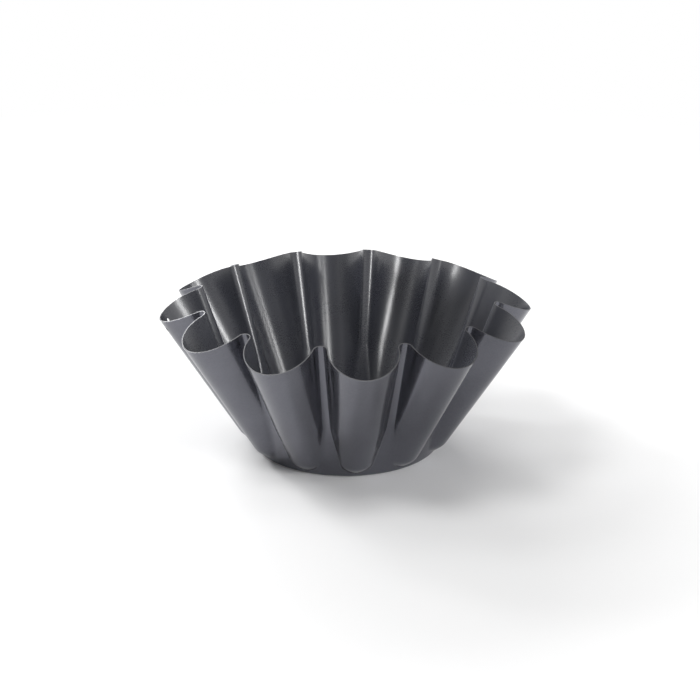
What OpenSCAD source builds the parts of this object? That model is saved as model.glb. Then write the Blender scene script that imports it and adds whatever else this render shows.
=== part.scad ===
// Fluted brioche mould. One round blank of coated sheet steel is pressed into a flared
// bowl of rounded lobes with a narrow ridge between each two. The press keeps the wall's
// slope length the same all the way round, so the rim dips at each lobe and rises at
// each ridge. The steel carries a release coat inside and a second coat outside, and
// the rim and the hanging holes are bare cut edges.
// The drawing's lines run along the middle of the sheet. The origin is the centre of the
// underside, with +Z up and a lobe on each axis.

/* [Overall size] */
// Diameter of the rim across two opposite lobes
rim_d = 200; // [160:1:240]
// Diameter of the base circle, where the wall's line meets the base
base_d = 101.4; // [84:0.2:122]
// Length of the wall along its slope, from the base circle to the cut edge
slant = 88.5; // [73:0.5:107]
// Number of lobes round the wall
lobes = 12; // [10:1:14]

/* [Ridges] */
// Rounding along both sides of a ridge
ridge_round = 3.4; // [2.8:0.1:4.2]
// Width of the plain strip along a ridge, where the lobes beside it are widest
ridge_strip = 0.5; // [0.3:0.1:1]

/* [Lobes] */
// Depth of the lobes at the rim, from the ridges' circle out
lobe_rim_depth = 20.5; // [16:0.5:25]
// Depth of the lobes carried down to base level, from the base circle out
lobe_foot_depth = 2.8; // [2:0.1:4]
// Radius of a lobe's own round, carried down to base level
lobe_foot_round = 8.5; // [7:0.1:10.2]
// How much that radius grows up to rim level, as far as the ridges leave it room
lobe_round_growth = 15; // [12:0.5:18]
// Height at which the rounded toe of a lobe begins
toe_z = 2.2; // [1.6:0.1:4]
// Height over which the toe rounds out to the lobe's full depth
toe_rise = 5.5; // [4:0.1:8]

/* [Sheet and coats] */
// Thickness of the bare steel
steel_t = 0.5; // [0.3:0.05:0.8]
// Thickness of the release coat inside
inner_coat_t = 0.04; // [0.03:0.01:0.1]
// Thickness of the coat outside
outer_coat_t = 0.04; // [0.03:0.01:0.1]
// Bend radius between the base and the wall
base_bend_r = 2; // [1:0.1:2.5]

/* [Hanging holes] */
// Diameter of the two small holes through one lobe
hole_d = 2.2; // [1.5:0.1:3]
// Distance between the two holes, measured round the lobe
hole_gap = 13; // [8:0.5:20]
// How far the pair stands off the lobe's middle line, towards +Y
hole_shift = 1; // [0:0.5:3]
// Distance from the cut edge to the middle of a hole, down the slope
hole_drop = 5.5; // [4:0.5:12]

/* [Hidden] */
wall_t = steel_t + inner_coat_t + outer_coat_t;
rim_r = rim_d / 2;
base_r = base_d / 2;
// Circle on which the crests of the ridges stand at the rim
crest_ring_r = rim_r - lobe_rim_depth;
half_pitch = 180 / lobes;
step = 0.001;
hole_sides = 32;
cutter_l = 6;
// Facets of half a lobe: round of the lobe, side of the ridge, strip along the ridge
lobe_steps = 4;
side_steps = 2;
strip_steps = 1;
// Rows of facets up the wall, as shares of the way from the toe to the full lobe and on
toe_rows = [0.2, 0.55, 1];
wall_rows = [0.3, 0.62, 1];
bend_steps = 2;

// Height of the wall's line over the base circle for a point r from the axis
function rim_height(r) = sqrt(pow(slant, 2) - pow(r - base_r, 2));
crest_z = rim_height(crest_ring_r);
lobe_z = rim_height(rim_r);
toe_t = toe_z / lobe_z;
full_t = (toe_z + toe_rise) / lobe_z;
// Slope of the plain band and of the strips between the lobes
wall_angle = atan2(crest_z, crest_ring_r - base_r);
bend_start_r = base_r - base_bend_r * tan(wall_angle / 2);

// Radius of the round of a lobe that leaves just the ridge's strip between two lobes
function widest_round(outer, valley) =
    let (g = valley + ridge_round, w = half_pitch - ridge_strip / 2 / valley * 180 / PI)
    let (a = g * cos(w) - outer, s = g * sin(w))
    (a * a + s * s - pow(ridge_round, 2)) / (2 * (ridge_round - a));

// Share of a lobe's full depth at level t: nothing below the toe, a parabola over it
function toe_share(t) =
    let (x = min(1, max(0, (t - toe_t) / (full_t - toe_t)))) x * (2 - x);

// Sizes of the section at level t, from 0 at the base to 1 at the rim: the circle of the
// ridges' strips, the depth of a lobe and the radius of its round
function valley_r(t) = base_r + (crest_ring_r - base_r) * t;
function lobe_depth(t) = toe_share(t) * (lobe_foot_depth * (1 - t) + lobe_rim_depth * t);
function lobe_round(t) =
    min(widest_round(valley_r(t) + lobe_depth(t), valley_r(t)),
        lobe_foot_round + lobe_round_growth * t);

// Point of the half section at level t: s runs 0 to 1 round the lobe, 1 to 2 round the
// side of the ridge and 2 to 3 along the strip to the middle of the ridge
function section(s, t) =
    let (v = valley_r(t), r = lobe_round(t), c = v + lobe_depth(t) - r, g = v + ridge_round)
    let (a = acos((g * g + c * c - pow(r + ridge_round, 2)) / (2 * c * g)))
    let (side = g * [cos(a), sin(a)])
    let (b = atan2(side.y, side.x - c))
    s <= 1 ? [c + r * cos(b * s), r * sin(b * s)] :
    s <= 2 ? let (w = 180 + b + (a - b) * (s - 1)) side + ridge_round * [cos(w), sin(w)] :
    let (w = a + (half_pitch - a) * (s - 2)) v * [cos(w), sin(w)];

// Point of the wall and the outward direction there
function wall_point(s, t) =
    let (p = section(s, t))
    [p.x, p.y, t * rim_height(norm(section(s, 1)))];
function unit(v) = v / norm(v);
function wall_normal(s, t) =
    let (s0 = max(0, s - step), s1 = min(3, s + step))
    let (t0 = t - step, t1 = min(1, t + step))
    unit(cross(wall_point(s1, t) - wall_point(s0, t), wall_point(s, t1) - wall_point(s, t0)));

steps = concat(
    [for (i = [0:lobe_steps]) i / lobe_steps],
    [for (i = [1:side_steps]) 1 + i / side_steps],
    [for (i = [1:strip_steps]) 2 + i / strip_steps]);
levels = concat(
    [for (x = toe_rows) toe_t + (full_t - toe_t) * x],
    [for (x = wall_rows) full_t + (1 - full_t) * x]);

// A turned row of the base: points at the first lobe row's angles, r from the axis
function turned_row(r, z, normal_angle) =
    [for (s = steps)
        let (p = section(s, levels[0]), w = atan2(p.y, p.x))
        [[r * cos(w), r * sin(w), z],
         [sin(normal_angle) * cos(w), sin(normal_angle) * sin(w), -cos(normal_angle)]]];
bend_rows = [for (i = [0:bend_steps])
    let (w = wall_angle * i / bend_steps)
    turned_row(bend_start_r + base_bend_r * sin(w), base_bend_r * (1 - cos(w)), w)];
// The row where the toes begin leans half way between the plain band and the toes
band_row = turned_row(valley_r(toe_t), toe_t * crest_z, wall_angle);
toe_row = [for (i = [0:len(steps) - 1])
    [band_row[i][0], unit(band_row[i][1] + wall_normal(steps[i], levels[0]))]];
wall_rows_pts = [for (t = levels) [for (s = steps) [wall_point(s, t), wall_normal(s, t)]]];
rows = concat(bend_rows, [toe_row], wall_rows_pts);

// One row shifted by a distance along its normals and carried all round
function spun(p, w) = [p.x * cos(w) - p.y * sin(w), p.x * sin(w) + p.y * cos(w), p.z];
function full_row(row, shift) =
    let (half = [for (q = row) q[0] + shift * q[1]], n = len(half))
    let (lobe = concat(
        [for (i = [n - 1:-1:1]) [half[i].x, -half[i].y, half[i].z]],
        [for (i = [0:n - 2]) half[i]]))
    [for (k = [0:lobes - 1], p = lobe) spun(p, k * 2 * half_pitch) + [0, 0, wall_t / 2]];
round_n = lobes * 2 * (len(steps) - 1);
row_n = len(rows);

// Points of one face of the sheet, the middle of the base last
function face_points(shift) = concat(
    [for (row = rows) for (p = full_row(row, shift)) p],
    [[0, 0, wall_t / 2 - shift]]);
function next(i) = (i + 1) % round_n;

// A layer of the sheet between two shifts from its middle, outside minus inside
module layer(outside, inside) {
    count = row_n * round_n + 1;
    pole = count - 1;
    top = (row_n - 1) * round_n;
    outer_faces = concat(
        [for (j = [0:row_n - 2], i = [0:round_n - 1])
            let (a = j * round_n, b = a + round_n)
            each [[a + i, b + i, b + next(i)], [a + i, b + next(i), a + next(i)]]],
        [for (i = [0:round_n - 1]) [pole, i, next(i)]]);
    inner_faces = [for (f = outer_faces) [f[0] + count, f[2] + count, f[1] + count]];
    rim_faces = [for (i = [0:round_n - 1])
        let (a = top + i, b = top + next(i))
        each [[a, a + count, b + count], [a, b + count, b]]];
    polyhedron(
        concat(face_points(outside), face_points(inside)),
        concat(outer_faces, inner_faces, rim_faces));
}

// Angle that the lobe's round takes from its middle to the ridge
function lobe_sweep(t) =
    let (c = valley_r(t) + lobe_depth(t) - lobe_round(t), p = section(1, t))
    atan2(p.y, p.x - c);

// Turns +Z to a direction
module facing(v) {
    rotate([0, acos(v.z), atan2(v.y, v.x)]) children();
}

// Cutters for the two holes, square to the wall of the lobe on the -X side
module hole_cutters() {
    hole_t = 1 - hole_drop / slant;
    lobe_arc = lobe_round(hole_t) * lobe_sweep(hole_t) * PI / 180;
    for (along = [hole_shift - hole_gap / 2, hole_shift + hole_gap / 2]) {
        hole_s = abs(along) / lobe_arc;
        rotate([0, 0, 180])
            mirror([0, along > 0 ? 1 : 0, 0])
                translate(wall_point(hole_s, hole_t) + [0, 0, wall_t / 2])
                    facing(wall_normal(hole_s, hole_t))
                        cylinder(h = cutter_l, d = hole_d, center = true, $fn = hole_sides);
    }
}

// Pressed steel sheet, bare at the rim and in the holes
module steel_shell() {
    color([0.72, 0.72, 0.74]) difference() {
        layer(steel_t / 2, -steel_t / 2);
        hole_cutters();
    }
}

// Release coat on the baking side
module inner_release_coat() {
    color([0.17, 0.18, 0.18]) difference() {
        layer(-steel_t / 2, -steel_t / 2 - inner_coat_t);
        hole_cutters();
    }
}

// Coat on the oven side and on the underside
module outer_coat() {
    color([0.33, 0.33, 0.36]) difference() {
        layer(steel_t / 2 + outer_coat_t, steel_t / 2);
        hole_cutters();
    }
}

steel_shell();
inner_release_coat();
outer_coat();
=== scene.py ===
import math

import bmesh
import bpy
from mathutils import Matrix, Vector


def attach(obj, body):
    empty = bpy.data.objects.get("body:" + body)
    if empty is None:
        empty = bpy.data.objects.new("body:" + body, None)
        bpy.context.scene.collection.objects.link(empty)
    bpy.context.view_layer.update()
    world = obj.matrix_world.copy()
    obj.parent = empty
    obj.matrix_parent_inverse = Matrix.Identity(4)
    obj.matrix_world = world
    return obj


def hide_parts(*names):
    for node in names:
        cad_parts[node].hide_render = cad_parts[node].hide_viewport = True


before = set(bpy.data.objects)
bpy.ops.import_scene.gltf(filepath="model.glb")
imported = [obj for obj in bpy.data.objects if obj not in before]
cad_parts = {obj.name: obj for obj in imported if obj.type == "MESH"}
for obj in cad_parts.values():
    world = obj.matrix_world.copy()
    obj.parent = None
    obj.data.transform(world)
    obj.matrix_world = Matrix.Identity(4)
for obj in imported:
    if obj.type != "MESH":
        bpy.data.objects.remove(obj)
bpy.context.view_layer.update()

# Pressed steel sheet
# One round blank of cold-rolled sheet, pressed in a fluted tool. The wall keeps the same
# slope length all round, so the cut rim dips at every lobe and rises at every ridge.

mm = 0.001
rim_r = 100 * mm
base_r = 50.7 * mm
slant = 88.5 * mm
lobes = 12
ridge_round = 3.4 * mm
ridge_strip = 0.5 * mm
lobe_rim_depth = 20.5 * mm
lobe_foot_depth = 2.8 * mm
lobe_foot_round = 8.5 * mm
lobe_round_growth = 15 * mm
toe_z = 2.2 * mm
toe_rise = 5.5 * mm
toe_fillet = 0.05
base_bend_r = 2 * mm
steel_t = 0.5 * mm
coat_t = 0.04 * mm
hole_r = 1.1 * mm
hole_gap = 13 * mm
hole_shift = 1 * mm
hole_drop = 5.5 * mm
punch_length = 6 * mm

crest_ring_r = rim_r - lobe_rim_depth
half_pitch = math.pi / lobes


def rim_height(r):
    return math.sqrt(slant**2 - (r - base_r) ** 2)


def widest_round(outer, valley):
    """Radius of the round of a lobe that leaves just the ridge's strip between two lobes"""
    g = valley + ridge_round
    w = half_pitch - ridge_strip / 2 / valley
    a = g * math.cos(w) - outer
    s = g * math.sin(w)
    return (a * a + s * s - ridge_round**2) / (2 * (ridge_round - a))


crest_z = rim_height(crest_ring_r)
toe_level = toe_z / rim_height(rim_r)
full_level = (toe_z + toe_rise) / rim_height(rim_r)
wall_angle = math.atan2(crest_z, crest_ring_r - base_r)
bend_start_r = base_r - base_bend_r * math.tan(wall_angle / 2)


def section(s, t):
    """Point of half a lobe at level t: s runs to 1 on the lobe, 2 on the ridge and 3 on its strip"""
    x = (t - toe_level) / (full_level - toe_level)
    x = min(1, (x + math.hypot(x, toe_fillet)) / 2)
    depth = x * (2 - x) * (lobe_foot_depth * (1 - t) + lobe_rim_depth * t)
    v = base_r + (crest_ring_r - base_r) * t
    r = min(widest_round(v + depth, v), lobe_foot_round + lobe_round_growth * t)
    c = v + depth - r
    g = v + ridge_round
    a = math.acos(min(1, (g**2 + c * c - (r + ridge_round) ** 2) / (2 * c * g)))
    side = Vector((g * math.cos(a), g * math.sin(a)))
    b = math.atan2(side.y, side.x - c)
    if s <= 1:
        return Vector((c + r * math.cos(b * s), r * math.sin(b * s)))
    if s <= 2:
        w = math.pi + b + (a - b) * (s - 1)
        return side + ridge_round * Vector((math.cos(w), math.sin(w)))
    w = a + (half_pitch - a) * (s - 2)
    return v * Vector((math.cos(w), math.sin(w)))


def wall_point(s, t):
    p = section(s, t)
    return Vector((p.x, p.y, t * rim_height(section(s, 1).length)))


def turned_point(s, r, z):
    w = math.atan2(*reversed(section(s, toe_level)))
    return Vector((r * math.cos(w), r * math.sin(w), z))


# The grid of the sheet: its stations on half a lobe and its rows from the middle to the rim.
# The band's rows stop short of the toe, and the toe's rows crowd where it starts.
stations = [i / 14 for i in range(14)]
stations += [1 + i / 8 for i in range(8)]
stations += [2 + i / 5 for i in range(6)]
base_rows = [0, 0.25, 0.5, 0.75, 0.9, 0.97]
bend_rows = 6
band_rows = 3
band_reach = 0.8
toe_rows = 12
toe_crowding = 1.5
wall_rows = 26


def half_lobe_rows():
    """Rows of half a lobe from the middle of the base to the rim"""
    rows = [[turned_point(s, bend_start_r * k, 0) for s in stations] for k in base_rows]
    for i in range(bend_rows + 1):
        w = wall_angle * i / bend_rows
        r = bend_start_r + base_bend_r * math.sin(w)
        z = base_bend_r * (1 - math.cos(w))
        rows.append([turned_point(s, r, z) for s in stations])
    band_start = rows[-1][0].z / crest_z
    for i in range(1, band_rows + 1):
        t = band_start + (toe_level - band_start) * i / (band_rows + 1) * band_reach
        r = base_r + (crest_ring_r - base_r) * t
        rows.append([turned_point(s, r, t * crest_z) for s in stations])
    for i in range(toe_rows + 1):
        t = toe_level + (full_level - toe_level) * (i / toe_rows) ** toe_crowding
        rows.append([wall_point(s, t) for s in stations])
    for i in range(1, wall_rows + 1):
        t = full_level + (1 - full_level) * i / wall_rows
        rows.append([wall_point(s, t) for s in stations])
    return rows


def pressed_sheet():
    """The middle face of the sheet: a grid wrapped round the axis and set to the sections"""
    rows = half_lobe_rows()
    half = len(stations) - 1
    around = lobes * 2 * half
    bm = bmesh.new()
    bmesh.ops.create_grid(bm, x_segments=around, y_segments=len(rows) - 1, size=1)
    for v in bm.verts:
        i = round((v.co.x + 1) / 2 * around)
        j = round((v.co.y + 1) / 2 * (len(rows) - 1))
        lobe, k = divmod(i, 2 * half)
        p = rows[j][min(k, 2 * half - k)].copy()
        if k > half:
            p.y = -p.y
            p.rotate(Matrix.Rotation(2 * half_pitch, 3, "Z"))
        p.rotate(Matrix.Rotation(lobe * 2 * half_pitch, 3, "Z"))
        v.co = p + Vector((0, 0, steel_t / 2 + coat_t))
    bmesh.ops.remove_doubles(bm, verts=bm.verts[:], dist=1e-6)
    bmesh.ops.recalc_face_normals(bm, faces=bm.faces[:])
    lowest = min(bm.faces, key=lambda f: f.calc_center_median().z)
    if lowest.normal.z > 0:
        bmesh.ops.reverse_faces(bm, faces=bm.faces[:])
    bm.normal_update()
    return bm


def hole_frame(along):
    """Place and direction of a hanging hole, some way along from the middle of the lobe on -X"""
    t = 1 - hole_drop / slant
    s = abs(along) / arc_length(t)
    p = wall_point(s, t)
    e = 0.001
    n = (wall_point(s + e, t) - p).cross(wall_point(s, t + e) - p).normalized()
    turn = Matrix.Rotation(math.pi, 3, "Z") @ Matrix.Diagonal((1, -1 if along > 0 else 1, 1))
    return turn @ p + Vector((0, 0, steel_t / 2 + coat_t)), turn @ n


def arc_length(t):
    points = [section(i / 40, t) for i in range(41)]
    return sum((b - a).length for a, b in zip(points, points[1:]))


def layer(name, outside, inside):
    """A layer of the sheet between two distances from its middle face, outwards positive"""
    bm = pressed_sheet()
    shifts = {v: v.normal.copy() for v in bm.verts}
    for v, n in shifts.items():
        v.co += n * outside
    bmesh.ops.solidify(bm, geom=bm.faces[:], thickness=outside - inside)
    bm.normal_update()
    mesh = bpy.data.meshes.new(name)
    bm.to_mesh(mesh)
    bm.free()
    piece = bpy.data.objects.new(name, mesh)
    bpy.context.scene.collection.objects.link(piece)
    for along in (hole_shift - hole_gap / 2, hole_shift + hole_gap / 2):
        pierce(piece, *hole_frame(along))
    for p in piece.data.polygons:
        p.use_smooth = True
    piece.data.set_sharp_from_angle(angle=math.radians(40))
    return piece


def pierce(piece, place, direction):
    """Cuts one hanging hole square through the wall"""
    bm = bmesh.new()
    bmesh.ops.create_cone(
        bm, cap_ends=True, segments=48, radius1=hole_r, radius2=hole_r, depth=punch_length
    )
    turn = Vector((0, 0, 1)).rotation_difference(direction).to_matrix()
    bmesh.ops.rotate(bm, verts=bm.verts[:], cent=(0, 0, 0), matrix=turn)
    bmesh.ops.translate(bm, verts=bm.verts[:], vec=place)
    mesh = bpy.data.meshes.new("punch")
    bm.to_mesh(mesh)
    bm.free()
    punch = bpy.data.objects.new("punch", mesh)
    bpy.context.scene.collection.objects.link(punch)
    cut = piece.modifiers.new("hole", "BOOLEAN")
    cut.operation = "DIFFERENCE"
    cut.solver = "EXACT"
    cut.object = punch
    bpy.context.view_layer.update()
    cut_piece = piece.evaluated_get(bpy.context.evaluated_depsgraph_get())
    done = bpy.data.meshes.new_from_object(cut_piece)
    piece.modifiers.clear()
    done.name = piece.name
    piece.data = done
    bpy.data.objects.remove(punch)


def bare_steel():
    """Satin cut edge, a little uneven from the shears"""
    material = bpy.data.materials.new("bare_steel")
    material.use_nodes = True
    nodes, links = material.node_tree.nodes, material.node_tree.links
    shader = nodes["Principled BSDF"]
    shader.inputs["Base Color"].default_value = (0.16, 0.16, 0.165, 1)
    shader.inputs["Metallic"].default_value = 1
    place = nodes.new("ShaderNodeTexCoord")
    grain = nodes.new("ShaderNodeTexNoise")
    grain.inputs["Scale"].default_value = 1500
    rough = nodes.new("ShaderNodeMapRange")
    rough.inputs["To Min"].default_value = 0.45
    rough.inputs["To Max"].default_value = 0.65
    links.new(place.outputs["Object"], grain.inputs["Vector"])
    links.new(grain.outputs["Fac"], rough.inputs["Value"])
    links.new(rough.outputs["Result"], shader.inputs["Roughness"])
    return material


steel = layer("pressed_steel_sheet", steel_t / 2, -steel_t / 2)
steel.data.materials.clear()
steel.data.materials.append(bare_steel())
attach(steel, "root")
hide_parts("steel_shell")


# Coats
# A thin baked film covers each face of the sheet up to the cut edge. Both are rolled on
# before the blank is pressed, so the rim and the holes stay bare.

def coat_grain():
    """Fine speckle and slow mottle of a baked film, for its colour, gloss and relief"""
    group = bpy.data.node_groups.new("coat_grain", "ShaderNodeTree")
    face = group.interface
    face.new_socket("Colour", in_out="INPUT", socket_type="NodeSocketColor")
    face.new_socket("Grain Scale", in_out="INPUT", socket_type="NodeSocketFloat")
    face.new_socket("Mottle", in_out="INPUT", socket_type="NodeSocketFloat")
    face.new_socket("Roughness", in_out="INPUT", socket_type="NodeSocketFloat")
    face.new_socket("Colour", in_out="OUTPUT", socket_type="NodeSocketColor")
    face.new_socket("Roughness", in_out="OUTPUT", socket_type="NodeSocketFloat")
    face.new_socket("Height", in_out="OUTPUT", socket_type="NodeSocketFloat")
    nodes, links = group.nodes, group.links
    given = nodes.new("NodeGroupInput")
    out = nodes.new("NodeGroupOutput")
    place = nodes.new("ShaderNodeTexCoord")
    fine = nodes.new("ShaderNodeTexNoise")
    fine.inputs["Detail"].default_value = 3
    links.new(place.outputs["Object"], fine.inputs["Vector"])
    links.new(given.outputs["Grain Scale"], fine.inputs["Scale"])
    broad = nodes.new("ShaderNodeTexNoise")
    broad.inputs["Scale"].default_value = 45
    broad.inputs["Detail"].default_value = 4
    links.new(place.outputs["Object"], broad.inputs["Vector"])
    tone = nodes.new("ShaderNodeMath")
    tone.operation = "ADD"
    links.new(fine.outputs["Fac"], tone.inputs[0])
    links.new(broad.outputs["Fac"], tone.inputs[1])
    gain = nodes.new("ShaderNodeMath")
    gain.operation = "MULTIPLY_ADD"
    links.new(tone.outputs[0], gain.inputs[0])
    links.new(given.outputs["Mottle"], gain.inputs[1])
    level = nodes.new("ShaderNodeMath")
    level.operation = "SUBTRACT"
    level.inputs[0].default_value = 1
    links.new(given.outputs["Mottle"], level.inputs[1])
    links.new(level.outputs[0], gain.inputs[2])
    shade = nodes.new("ShaderNodeVectorMath")
    shade.operation = "SCALE"
    links.new(given.outputs["Colour"], shade.inputs[0])
    links.new(gain.outputs[0], shade.inputs["Scale"])
    links.new(shade.outputs["Vector"], out.inputs["Colour"])
    rough = nodes.new("ShaderNodeMath")
    rough.operation = "MULTIPLY"
    links.new(given.outputs["Roughness"], rough.inputs[0])
    links.new(gain.outputs[0], rough.inputs[1])
    links.new(rough.outputs[0], out.inputs["Roughness"])
    links.new(fine.outputs["Fac"], out.inputs["Height"])
    return group


grain_group = coat_grain()


def coat(name, colour, metallic, roughness, ior, grain, mottle, bump):
    material = bpy.data.materials.new(name)
    material.use_nodes = True
    nodes, links = material.node_tree.nodes, material.node_tree.links
    shader = nodes["Principled BSDF"]
    shader.inputs["Metallic"].default_value = metallic
    shader.inputs["IOR"].default_value = ior
    group = nodes.new("ShaderNodeGroup")
    group.node_tree = grain_group
    group.inputs["Colour"].default_value = (*colour, 1)
    group.inputs["Grain Scale"].default_value = grain
    group.inputs["Mottle"].default_value = mottle
    group.inputs["Roughness"].default_value = roughness
    relief = nodes.new("ShaderNodeBump")
    relief.inputs["Strength"].default_value = bump
    relief.inputs["Distance"].default_value = 0.02 * mm
    links.new(group.outputs["Colour"], shader.inputs["Base Color"])
    links.new(group.outputs["Roughness"], shader.inputs["Roughness"])
    links.new(group.outputs["Height"], relief.inputs["Height"])
    links.new(relief.outputs["Normal"], shader.inputs["Normal"])
    return material


inner = layer("release_coat", -steel_t / 2, -steel_t / 2 - coat_t)
inner.data.materials.clear()
inner.data.materials.append(coat(
    "release_coat", (0.042, 0.044, 0.055), metallic=0, roughness=0.28, ior=1.85,
    grain=2500, mottle=0.2, bump=0.4,
))
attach(inner, "root")
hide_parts("inner_release_coat")

outer = layer("outside_coat", steel_t / 2 + coat_t, steel_t / 2)
outer.data.materials.clear()
outer.data.materials.append(coat(
    "outside_coat", (0.151, 0.153, 0.174), metallic=0.9, roughness=0.2, ior=1.5,
    grain=1100, mottle=0.34, bump=0.8,
))
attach(outer, "root")
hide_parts("outer_coat")


# Floor, light and camera
# The mould stands on a white table, seen a little from above. Most light comes from behind
# and the left, and a tall narrow window in front on the right draws a line down each lobe.

def shown_rays(nodes, links):
    """1 on the rays that show the backdrop as it is: straight, in a reflection or through a piece"""
    path = nodes.new("ShaderNodeLightPath")
    first = nodes.new("ShaderNodeMath")
    first.operation = "MAXIMUM"
    links.new(path.outputs["Is Camera Ray"], first.inputs[0])
    links.new(path.outputs["Is Glossy Ray"], first.inputs[1])
    both = nodes.new("ShaderNodeMath")
    both.operation = "MAXIMUM"
    links.new(first.outputs[0], both.inputs[0])
    links.new(path.outputs["Is Transmission Ray"], both.inputs[1])
    return both.outputs[0]


def table_material():
    """White table that keeps the mould's shadow near it and runs out into plain white"""
    material = bpy.data.materials.new("white_table")
    material.use_nodes = True
    nodes, links = material.node_tree.nodes, material.node_tree.links
    shader = nodes["Principled BSDF"]
    shader.inputs["Base Color"].default_value = (0.9, 0.9, 0.9, 1)
    shader.inputs["Roughness"].default_value = 0.8
    place = nodes.new("ShaderNodeTexCoord")
    reach = nodes.new("ShaderNodeVectorMath")
    reach.operation = "LENGTH"
    links.new(place.outputs["Object"], reach.inputs[0])
    far = nodes.new("ShaderNodeMapRange")
    far.interpolation_type = "SMOOTHSTEP"
    far.inputs["From Min"].default_value = 0.35
    far.inputs["From Max"].default_value = 0.8
    links.new(reach.outputs["Value"], far.inputs["Value"])
    share = nodes.new("ShaderNodeMath")
    share.operation = "MULTIPLY"
    links.new(far.outputs["Result"], share.inputs[0])
    links.new(shown_rays(nodes, links), share.inputs[1])
    white = nodes.new("ShaderNodeEmission")
    mix = nodes.new("ShaderNodeMixShader")
    links.new(share.outputs[0], mix.inputs[0])
    links.new(shader.outputs[0], mix.inputs[1])
    links.new(white.outputs[0], mix.inputs[2])
    links.new(mix.outputs[0], nodes["Material Output"].inputs["Surface"])
    return material


bm = bmesh.new()
bmesh.ops.create_grid(bm, x_segments=1, y_segments=1, size=6)
mesh = bpy.data.meshes.new("table_top")
bm.to_mesh(mesh)
bm.free()
table = bpy.data.objects.new("table_top", mesh)
bpy.context.scene.collection.objects.link(table)
mesh.materials.append(table_material())

# White walls up to eye level round the table, and a plain grey room above them
room_light = 0.2
world = bpy.data.worlds.new("studio")
bpy.context.scene.world = world
world.use_nodes = True
nodes, links = world.node_tree.nodes, world.node_tree.links
background = nodes["Background"]
background.inputs["Color"].default_value = (1, 1, 1, 1)
way = nodes.new("ShaderNodeTexCoord")
split = nodes.new("ShaderNodeSeparateXYZ")
links.new(way.outputs["Generated"], split.inputs[0])
wall = nodes.new("ShaderNodeMapRange")
wall.interpolation_type = "SMOOTHSTEP"
wall.inputs["From Min"].default_value = 0.25
wall.inputs["From Max"].default_value = 0.45
wall.inputs["To Min"].default_value = 1
wall.inputs["To Max"].default_value = 0
links.new(split.outputs["Z"], wall.inputs["Value"])
share = nodes.new("ShaderNodeMath")
share.operation = "MULTIPLY"
links.new(wall.outputs["Result"], share.inputs[0])
links.new(shown_rays(nodes, links), share.inputs[1])
level = nodes.new("ShaderNodeMapRange")
level.inputs["To Min"].default_value = room_light
level.inputs["To Max"].default_value = 1
links.new(share.outputs[0], level.inputs["Value"])
links.new(level.outputs["Result"], background.inputs["Strength"])


def lamp(name, turn, height, width, length, watts):
    """A soft light 1.5 m away, from a turn and a height in degrees, aimed at the mould"""
    light = bpy.data.lights.new(name, "AREA")
    light.shape = "RECTANGLE"
    light.size = width
    light.size_y = length
    light.energy = watts
    stand = bpy.data.objects.new(name, light)
    t = math.radians(turn)
    h = math.radians(height)
    way = Vector((math.cos(t) * math.cos(h), math.sin(t) * math.cos(h), math.sin(h)))
    stand.location = way * 1.5 + Vector((0, 0, 0.04))
    stand.rotation_euler = way.to_track_quat("Z", "Y").to_euler()
    bpy.context.scene.collection.objects.link(stand)


lamp("back_light", 102, 24, 1.15, 0.42, 16.3)
lamp("key_light", 134, 27, 0.2, 0.2, 5.2)
lamp("back_left_light", 150, 40, 0.42, 0.42, 4.6)
lamp("high_left_light", 188, 60, 0.5, 0.5, 7.4)
lamp("overhead_light", 0, 86, 0.5, 0.5, 2)
lamp("front_window", -51, 24, 0.24, 0.85, 11.5)
lamp("side_window", -25, 34, 0.22, 0.3, 1.4)

# The photographer stands a metre away, a little to the left, and aims just above the middle
camera_distance = 1031.1 * mm
camera_aim = Vector((0, 0, 36.4 * mm))
camera_side = math.radians(-5.96)
camera_height = math.radians(21.66)
camera_lift = math.radians(0.815)
camera_swing = math.radians(-0.11)
camera_roll = math.radians(0.167)
camera = bpy.data.objects.new("camera", bpy.data.cameras.new("camera"))
camera.data.sensor_width = 36
camera.data.lens = 97.3337
camera.matrix_world = (
    Matrix.Translation(camera_aim)
    @ Matrix.Rotation(camera_side, 4, "Z")
    @ Matrix.Rotation(math.radians(90) - camera_height, 4, "X")
    @ Matrix.Translation((0, 0, camera_distance))
    @ Matrix.Rotation(camera_swing, 4, "Y")
    @ Matrix.Rotation(camera_lift, 4, "X")
    @ Matrix.Rotation(camera_roll, 4, "Z")
)
bpy.context.scene.collection.objects.link(camera)
bpy.context.scene.camera = camera
bpy.context.scene.view_settings.view_transform = "Standard"
